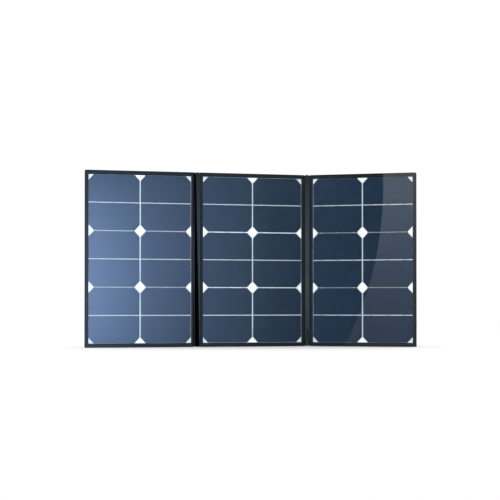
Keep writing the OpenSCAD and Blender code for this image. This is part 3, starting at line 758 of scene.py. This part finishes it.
def web(name, line, material, columns, high_z, bend):
    """A hinge's cloth: its middle line, made thick and bent, from the floor up to a wavy top edge."""
    painted_shades = []

    def points_at(u, v):
        z = WEB_LOW + (high_z(u) - WEB_LOW) * v
        x, y, painted_shade = line(z, u)
        x_next, y_next, _ = line(z, min(1, u + 0.01))
        x_last, y_last, _ = line(z, max(0, u - 0.01))
        tangent = Vector((x_next - x_last, y_next - y_last)).normalized()
        nx, ny = tangent.y * WEB_T / 2, -tangent.x * WEB_T / 2
        # Painted shade: the line's own or that of the ends, whichever is darker
        painted_shades.append(max(painted_shade, painted_end_shade(z)))
        return (*bend(x + nx, y + ny, x), z), (*bend(x - nx, y - ny, x), z)

    obj = piece(name, *slab(*grids(WEB_ROWS, columns, points_at)), MATERIALS[material])
    outward(obj)
    # The front side carries the painted shade; the back side has none
    attribute = obj.data.attributes.new("painted_shade", "FLOAT", "POINT")
    attribute.data.foreach_set("value", painted_shades + [0.0] * len(painted_shades))
    return obj


left_web = web("left_hinge_web", left_web_line, "left_hinge_fabric", 41,
               lambda u: PANEL_H - 0.6 + 1.0 * bump_line(u - 0.72, 0.14), no_bend)
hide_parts("left_hinge_fabric", "left_link_ribbon")
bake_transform(left_web)

right_web = web("right_hinge_web", right_web_line, "hinge_fabric", 33,
                lambda u: PANEL_H - 0.8 + 2.4 * bump_line(u - 0.5, 0.16), half_fold)
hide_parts("right_hinge_fabric", "right_link_ribbon")
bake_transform(right_web)


# ---------------------------------------------------------------- cable pocket and zip

POCKET_W, POCKET_H, POCKET_Z, POCKET_D = 190.0, 130.0, 40.0, 11.0
HEM_W = 8.0
ZIP_Z, ZIP_L = 155.0, 176.0
POCKET_FACE = BACK_Y + POCKET_D


def pocket():
    """A sewn bag: hem flat on the panel, sides that lean in, a front that sags and bellies low down."""
    half_w, half_h = POCKET_W / 2 + HEM_W, POCKET_H / 2 + HEM_W
    mid_z = POCKET_Z + POCKET_H / 2
    seam_in, cloth_t, side_cloth = 4.0, 0.9, 18.0

    def points_at(u, v):
        x, z = half_w * (2 * u - 1), half_h * (2 * v - 1)
        inside = rounded_distance(x, z, POCKET_W / 2, POCKET_H / 2, 10)
        wall = smoothstep(inside / 9)
        zip_room = bump_line(z + mid_z - ZIP_Z, 9)
        belly = 0.6 * smoothstep(inside / 45) * (1 - zip_room) * (1 - 0.4 * z / half_h)
        folds = 0.55 * wave_noise(x * 0.35, 2, z, 17) + 0.3 * wave_noise(x, 4, z * 0.6, 9)
        folds *= wall * (1 - 0.9 * zip_room)
        y = BACK_Y + cloth_t + (POCKET_D - 1.1) * wall + belly + folds
        y -= 0.25 * bump_line(rounded_distance(x, z, half_w, half_h, 12) - seam_in, 0.9)
        return (x, max(BACK_Y + 0.05, y - cloth_t), z + mid_z), (x, y, z + mid_z)

    obj = piece("cable_pocket_shell", *slab(*grids(97, 131, points_at)), MATERIALS["pocket_fabric"],
                PLACE["left"])
    outward(obj)
    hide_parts("cable_pocket")
    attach(obj, "left_panel")

    r = 9.0
    loop = [(x, BACK_Y + 0.95, z) for sx, sz, turn in CORNERS
            for x, z in arc(sx * (half_w - seam_in - r), mid_z + sz * (half_h - seam_in - r), r, turn, 7)]
    stitches = piece("cable_pocket_stitches", *stitch_run(loop + loop[:1], (0, 1, 0)), MATERIALS["thread"],
                     PLACE["left"])
    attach(stitches, "left_panel")


def zip_tapes():
    """Two woven tapes, thicker along the teeth, with stitching along their outer sides."""
    parts, runs = [], []
    seam = 7.6
    for side in (-1, 1):
        def points_at(u, v):
            x, d = (ZIP_L / 2 + 3) * (2 * u - 1), 2.0 + 8.0 * v
            y = POCKET_FACE + 0.5 + 0.12 * bump_line(d - 2.4, 0.8) + 0.06 * wave_noise(x, side, d, 7)
            y -= 0.12 * bump_line(d - seam, 0.6)
            return (x, POCKET_FACE - 0.1, ZIP_Z + side * d), (x, y, ZIP_Z + side * d)

        parts.append(slab(*grids(9, 120, points_at)))
        line = [(end * (ZIP_L / 2 + 1), POCKET_FACE + 0.5, ZIP_Z + side * seam) for end in (-1, 1)]
        runs.append(stitch_run(line, (0, 1, 0), length=2.4, pitch=3.4, width=0.45, height=0.25))
    obj = outward(piece("zip_tape_pair", *joined(parts), MATERIALS["zip_tape"], PLACE["left"]))
    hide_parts("zip_tape")
    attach(obj, "left_panel")
    stitches = piece("zip_tape_stitches", *joined(runs), MATERIALS["thread"], PLACE["left"])
    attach(stitches, "left_panel")


def zip_teeth():
    """Two rows of cast teeth that mesh: a foot on the tape and a rounded nose in the middle."""
    verts, faces = [], []
    outline = ((-0.55, 2.2), (-0.62, 1.5), (-0.45, 0.9), (-0.62, 0.2), (-0.45, -0.35), (0.45, -0.35),
               (0.62, 0.2), (0.45, 0.9), (0.62, 1.5), (0.55, 2.2))
    pitch = 1.4
    count = int((ZIP_L - 4) / pitch)
    for side in (-1, 1):
        for k in range(count):
            x = -ZIP_L / 2 + 2 + pitch * (k + (0.5 if side > 0 else 0.0))
            start = len(verts)
            for y in (-0.35, 0.25, 0.85):
                shrink = 0.82 if y != 0.25 else 1.0
                for px, pz in outline:
                    verts.append((x + px * shrink * 0.6, POCKET_FACE + y, ZIP_Z + side * (0.15 + pz * 0.95)))
            m = len(outline)
            faces += grid_faces(3, m, wrap_columns=True, start=start)
            faces.append(tuple(range(start, start + m)))
            faces.append(tuple(range(start + 3 * m - 1, start + 2 * m - 1, -1)))
    obj = outward(piece("zip_teeth_rows", verts, faces, MATERIALS["zip_metal"], PLACE["left"], smooth=False))
    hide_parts("zip_teeth")
    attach(obj, "left_panel")


pocket()
zip_tapes()
zip_teeth()


# ---------------------------------------------------------------- handle, strap and pads

HANDLE_X, HANDLE_W, HANDLE_T = -113.4, 25.0, 2.2
HANDLE_Z, HANDLE_SPAN, HANDLE_RISE, HANDLE_TAB = 202.5, 135.0, 22.0, 30.0
RIVET_Z = (120.0, 285.0)
STRAP_X, STRAP_Y, STRAP_Z, STRAP_W, STRAP_L = -119.0, 4.1, 202.5, 25.0, 62.0


def band(path, width_axis, width, thickness, cells=9):
    """A webbing band along a path of (point, normal): rounded selvedges, a slight crown, closed ends."""
    crown = 0.12
    verts = []
    for point, normal in path:
        point, normal = Vector(point), Vector(normal)
        profile = []
        for k in range(cells):
            s = 2 * k / (cells - 1) - 1
            edge = (1 - abs(s) ** 6) ** 0.5
            profile.append((s * width / 2, thickness * (0.22 + 0.28 * edge) + crown * (1 - s * s) * 0.5))
        verts += [point + width_axis * s + normal * (thickness / 2 + h) for s, h in profile]
        verts += [point + width_axis * s + normal * (thickness / 2 - h + crown * 0.4)
                  for s, h in reversed(profile)]
    m = 2 * cells
    faces = grid_faces(len(path), m, wrap_columns=True)
    faces.append(tuple(range(m)))
    faces.append(tuple(range(len(verts) - 1, len(verts) - 1 - m, -1)))
    return verts, faces


def handle_bow(t):
    return HANDLE_RISE * math.sin(math.pi * t) ** 1.4 if 0 < t < 1 else 0.0


def handle():
    path = []
    z0 = HANDLE_Z - HANDLE_SPAN / 2
    steps = 96
    whole = HANDLE_SPAN + 2 * HANDLE_TAB
    for i in range(steps + 1):
        z = z0 - HANDLE_TAB + whole * i / steps
        t = (z - z0) / HANDLE_SPAN
        slope = (handle_bow(t + 0.004) - handle_bow(t - 0.004)) / (0.008 * HANDLE_SPAN)
        normal = Vector((0, 1, -slope)).normalized()
        rise = handle_bow(t) + 0.25 * wave_noise(0, 1, z, 20) * (0 < t < 1)
        path.append(((HANDLE_X, BACK_Y + rise, z), normal))
    obj = outward(piece("handle_webbing", *band(path, Vector((1, 0, 0)), HANDLE_W, HANDLE_T - 0.2),
                        MATERIALS["webbing"]))
    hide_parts("carry_handle")
    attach(obj, "centre_panel")


def handle_patches():
    """Leather patches with rolled edges over the handle's sewn ends, each with a boxed stitch."""
    parts, runs = [], []
    half_w, half_h = HANDLE_W / 2 - 0.2, HANDLE_TAB / 2 - 2
    base = BACK_Y + HANDLE_T
    seam_in = 1.9
    for z_mid in RIVET_Z:
        def points_at(u, v):
            x, z = half_w * (2 * u - 1), half_h * (2 * v - 1)
            inside = rounded_distance(x, z, half_w, half_h, 2.2)
            rolled = 0.25 + 0.85 * smoothstep(inside)
            dish = 0.3 * bump_line(inside - seam_in, 0.5)
            pressed = 0.15 * max(bump_line(math.hypot(x - s * 6, z) - 4.4, 0.9) for s in (-1, 1))
            return ((HANDLE_X + x, base - 0.05, z_mid + z),
                    (HANDLE_X + x, base + rolled - dish - pressed, z_mid + z))

        parts.append(slab(*grids(33, 31, points_at)))
        loop = [(HANDLE_X + sx * (half_w - seam_in), base + 0.9, z_mid + sz * (half_h - seam_in))
                for sx, sz in ((-1, -1), (1, -1), (1, 1), (-1, 1), (-1, -1))]
        runs.append(stitch_run(loop, (0, 1, 0), length=2.2, pitch=3.0, width=0.5, height=0.25))
    obj = outward(piece("handle_leather_patches", *joined(parts), MATERIALS["patch_leather"]))
    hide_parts("handle_patches")
    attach(obj, "centre_panel")
    stitches = piece("handle_patch_stitches", *joined(runs), MATERIALS["thread"])
    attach(stitches, "centre_panel")


def strap():
    """The closing strap: webbing sewn at one end, with a turned hem at its free end."""
    path = []
    steps = 40
    for i in range(steps + 1):
        x = STRAP_X - 0.7 + (STRAP_L + 0.4) * i / steps
        hem = 0.35 * smoothstep((x - STRAP_X - STRAP_L + 12) / 1.0)
        path.append(((x, STRAP_Y - 0.8 + 0.08 * wave_noise(x, 0, 0, 12), STRAP_Z), Vector((0, 1 + hem, 0))))
    verts, faces = band(path, Vector((0, 0, 1)), STRAP_W, 1.3, cells=11)
    obj = outward(piece("closing_strap_webbing", verts, faces, MATERIALS["strap_webbing"], PLACE["left"]))
    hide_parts("closure_strap")
    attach(obj, "strap")

    runs = []
    for x in (STRAP_X + STRAP_L - 10.5, STRAP_X + STRAP_L - 3):
        line = [(x, STRAP_Y + 1.05, STRAP_Z + side * 11) for side in (-1, 1)]
        runs.append(stitch_run(line, (0, 1, 0), length=2.0, pitch=2.8, width=0.45, height=0.25))
    stitches = piece("closing_strap_stitches", *joined(runs), MATERIALS["thread"], PLACE["left"])
    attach(stitches, "strap")


def pad(name, x0, x1, thickness, panel, replaced, material):
    """A sewn pad with a soft pile on a panel's back, as wide as the strap: rounded edge, uneven crown."""
    mid_x, half_w, half_h = (x0 + x1) / 2, (x1 - x0) / 2, STRAP_W / 2

    def points_at(u, v):
        x, z = half_w * (2 * u - 1), half_h * (2 * v - 1)
        inside = rounded_distance(x, z, half_w, half_h, 2)
        height = thickness * (0.35 + 0.6 * smoothstep(inside / 1.2)) - 0.2 * bump_line(inside - 2.0, 0.5)
        height += 0.06 * wave_noise(x, 0, z, 1.5)
        return (mid_x + x, BACK_Y, STRAP_Z + z), (mid_x + x, BACK_Y + height, STRAP_Z + z)

    obj = outward(piece(name, *slab(*grids(27, 37, points_at)), MATERIALS[material], PLACE[panel]))
    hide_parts(replaced)
    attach(obj, f"{panel}_panel")


handle()
handle_patches()
strap()
pad("strap_anchor_tab", STRAP_X - 8.5, STRAP_X - 1.2, 1.0, "left", "strap_anchor", "strap_webbing")
pad("parking_loop_pad", STRAP_X + 18, STRAP_X + STRAP_L - 4, 1.1, "left", "parking_pad", "loop_pad")
pad("closure_loop_pad", PANEL_W / 2 - 50, PANEL_W / 2 - 14, 1.1, "centre", "closure_pad", "loop_pad")


# ---------------------------------------------------------------- CAD nodes that stay

def finish_node(name, material):
    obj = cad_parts[name]
    obj.data.materials.clear()
    obj.data.materials.append(material)


for panel in PLACE:
    finish_node(f"{panel}_cells", cell_material(panel))
    finish_node(f"{panel}_ribbons",
                metal(f"{panel}_tinned_ribbon", RIBBON_TONES[panel], rough=0.5, metallic=0.3))
    finish_node(f"{panel}_backsheet", white_sheet(panel))
    finish_node(f"{panel}_board", MATERIALS["stiffener_board"])

for name, slot in (
    ("controller_base", "box_plastic"), ("controller_gasket", "gasket_rubber"),
    ("controller_cover", "box_plastic"), ("controller_screws", "screw_steel"),
    ("circuit_board", "circuit_board"), ("usb_socket", "socket_metal"),
    ("dc_socket", "component_plastic"), ("indicator_led", "lens"), ("light_pipe", "lens"),
    ("blocking_diode", "component_plastic"), ("choke", "choke_ferrite"),
    ("capacitors", "capacitor_sleeve"), ("panel_leads", "lead_insulation"),
    ("usb_cap", "cap_rubber"), ("dc_cap", "cap_rubber"), ("cap_pins", "screw_steel"),
    ("zip_slider", "zip_metal"), ("zip_pull", "zip_metal"), ("handle_rivets", "rivet_metal"),
):
    finish_node(name, MATERIALS[slot])


# ---------------------------------------------------------------- studio

def staged(name, points, faces, material):
    """A floor or a card, which belongs to the studio."""
    obj = mesh_object(name, points, faces, material)
    return obj


def floor_material():
    n = Nodes("studio_floor")
    n.principled(Base_Color=varied(n, (0.40, 0.40, 0.40), 0.01, 400), Roughness=0.9,
                 Specular_IOR_Level=0.0)
    return n.material


QUAD = ((0, 1, 2, 3),)
floor = staged("floor", ((-9, -9, 0), (9, -9, 0), (9, 9, 0), (-9, 9, 0)), QUAD, floor_material())
floor.visible_glossy = False


def mirrored(point, normal):
    """The direction in which a mirror at a point sends the camera's look."""
    look = (point - CAMERA_AT).normalized()
    return look - 2 * look.dot(normal) * normal


def card_material(name, stops, across, falloff=0.0, mid_z=0.0, reach=1.0):
    """Emission that follows a ramp of (place, colour) stops along one axis of the card.

    With a falloff it also dims away from a height, fully on the low side and not at all on the high side.
    """
    low, high = stops[0][0], stops[-1][0]
    peak = max(max(colour) for _, colour in stops)
    n = Nodes(name)
    coords = n.new("ShaderNodeTexCoord").outputs["Object"]
    ramp = n.new("ShaderNodeValToRGB")
    n.put(ramp.inputs[0], n.remap(n.axis(across, coords), low, high, 0, 1))
    elements = ramp.color_ramp.elements
    for index, (at, colour) in enumerate(stops):
        place = (at - low) / (high - low)
        element = elements[index] if index < 2 else elements.new(place)
        element.position = place
        element.color = (*(c / peak for c in colour), 1)
    away = n.math("DIVIDE", n.math("SUBTRACT", n.axis("z", coords), mid_z), reach)
    less = n.remap(n.axis(across, coords), low, high, falloff, 0.0)
    fade = n.math("SUBTRACT", 1.0, n.math("MULTIPLY", n.math("MULTIPLY", away, away), less))
    glow = n.new("ShaderNodeEmission")
    n.put(glow.inputs["Color"], ramp.outputs[0])
    n.put(glow.inputs["Strength"], n.math("MULTIPLY", fade, peak))
    n.tree.links.new(glow.outputs[0], n.out.inputs[0])
    return n.material


def only_mirrored(obj):
    obj.visible_camera = obj.visible_diffuse = obj.visible_shadow = obj.visible_transmission = False
    obj.visible_volume_scatter = False


# A soft card that the left and centre panels mirror; its colours run from the left wing's edge to the right
CARD_OUT = 1.36
CARD_Y = FRONT_Y * MM - CARD_OUT


def seen_at(x):
    """Where on the card's width the camera sees a point of the front plane mirrored."""
    return x + (x - CAMERA_AT.x) * CARD_OUT / (FRONT_Y * MM - CAMERA_AT.y)


# What the card shows at places along the front, in metres from the centre panel's middle
BLUE_STOPS = (
    (-0.42, (0.872, 1.268, 2.2)), (-0.39, (0.836, 1.236, 2.12)), (-0.354, (0.672, 1.048, 1.8)),
    (-0.3165, (0.56, 0.88, 1.51)), (-0.254, (0.372, 0.556, 0.975)), (-0.2165, (0.304, 0.482, 0.825)),
    (-0.174, (0.247, 0.358, 0.61)), (-0.110, (0.18, 0.276, 0.484)), (-0.0707, (0.144, 0.228, 0.34)),
    (-0.0316, (0.124, 0.188, 0.304)), (0.0258, (0.064, 0.116, 0.168)), (0.0597, (0.044, 0.076, 0.1)),
    (0.104, (0.028, 0.056, 0.076)), (0.2, (0.012, 0.02, 0.032)),
)
CARD_BOTTOM, CARD_TOP = -0.2, 0.75
blue_stops = [(seen_at(x), colour) for x, colour in BLUE_STOPS]
card_from, card_to = blue_stops[0][0] - 0.12, blue_stops[-1][0] + 0.05
left_card = staged("left_card", ((card_from, CARD_Y, CARD_BOTTOM), (card_to, CARD_Y, CARD_BOTTOM),
                                 (card_to, CARD_Y, CARD_TOP), (card_from, CARD_Y, CARD_TOP)), QUAD,
                   card_material("left_card", blue_stops, "x", falloff=0.40, mid_z=0.172, reach=0.25))
only_mirrored(left_card)


def sweep(s):
    """The share of the right wing's width where the light reflection begins, at a share s of its height."""
    return 0.697 - 0.37 * (1 - min(1, max(0, s))) ** 2.3


# How far out the right wing's cards stand, and the share of its height that they go past its ends
RIGHT_CARD_OUT, RIGHT_CARD_OVER = 1.2, 0.15


def right_card(name, low, high, stops, across):
    """A card that the right wing mirrors between two lines up its front, coloured up or across it."""
    normal = Vector((-math.sin(RIGHT_FOLD), -math.cos(RIGHT_FOLD), 0))
    middle = PLACE["right"] @ Vector((0, FILM_Y * MM, PANEL_H / 2 * MM))
    out = mirrored(middle, normal)
    out.z = 0
    out.normalize()
    plane_at = middle + out * RIGHT_CARD_OUT
    verts, rows = [], 33
    for i in range(rows):
        s = (1 + 2 * RIGHT_CARD_OVER) * i / (rows - 1) - RIGHT_CARD_OVER
        for share in (low(s), high(s)):
            point = PLACE["right"] @ Vector(((share - 0.5) * PANEL_W * MM, FILM_Y * MM, s * PANEL_H * MM))
            ray = mirrored(point, normal)
            verts.append(point + ray * ((plane_at - point).dot(out) / ray.dot(out)))
    if across == "y":
        near, far = verts[rows - 1].y, verts[rows].y
        stops = sorted((near + (far - near) * at, colour) for at, colour in stops)
    only_mirrored(staged(name, verts, grid_faces(rows, 2), card_material(name, stops, across)))


right_card("right_card", sweep, lambda s: 1.35,
           ((-0.06, (0.1, 0.108, 0.122)), (0.031, (0.11, 0.12, 0.145)), (0.115, (0.136, 0.151, 0.176)),
            (0.192, (0.168, 0.192, 0.24)), (0.271, (0.22, 0.256, 0.296)), (0.349, (0.292, 0.32, 0.352)),
            (0.4325, (0.356, 0.38, 0.4)), (0.52, (0.392, 0.42, 0.44))), "z")
right_card("right_dim_card", lambda s: -0.3, sweep,
           ((0.0, (0.07, 0.1, 0.15)), (0.3, (0.05, 0.078, 0.12)), (0.6, (0.028, 0.044, 0.072)),
            (1.0, (0, 0, 0))), "y")


def area_light(name, at, target, size, power, colour=(1, 1, 1)):
    data = bpy.data.lights.new(name, "AREA")
    data.shape, data.size, data.size_y = "RECTANGLE", *size
    data.energy, data.color = power, colour
    obj = bpy.data.objects.new(name, data)
    bpy.context.scene.collection.objects.link(obj)
    obj.location = at
    obj.rotation_euler = (Vector(target) - Vector(at)).to_track_quat("-Z", "Y").to_euler()
    obj.visible_camera = False


area_light("key", (-1.6, -2.2, 2.2), (0, 0, 0.2), (1.6, 1.2), 14, (1.0, 0.98, 0.96))
area_light("rim", (1.8, 1.6, 1.9), (0, 0, 0.2), (1.4, 1.0), 18, (0.95, 0.98, 1.0))
area_light("back", (-1.2, 2.2, 1.4), (0, 0, 0.2), (1.8, 1.2), 16)


WORLD_LIGHT, WORLD_SEEN = 2.5, 1.05


def studio_world():
    """White to the eye and as light; to a reflection dim in front of the panel and soft grey behind it."""
    n = Nodes("studio", world=True)
    bpy.context.scene.world = n.material
    path, white, dim = (n.new(f"ShaderNode{kind}") for kind in ("LightPath", "Background", "Background"))
    n.put(white.inputs["Color"], (1, 1, 1))
    n.put(white.inputs["Strength"], n.remap(path.outputs["Is Camera Ray"], 0, 1, WORLD_LIGHT, WORLD_SEEN))
    behind = n.axis("y", n.new("ShaderNodeTexCoord").outputs["Generated"])
    n.put(dim.inputs["Color"], (0.72, 0.82, 0.92))
    n.put(dim.inputs["Strength"], n.remap(behind, 0.15, 0.8, 0.05, 0.9))
    n.mix_shaders(path.outputs["Is Glossy Ray"], white, dim)


studio_world()
bpy.context.scene.view_settings.view_transform = "Standard"
bpy.context.scene.view_settings.look = "None"
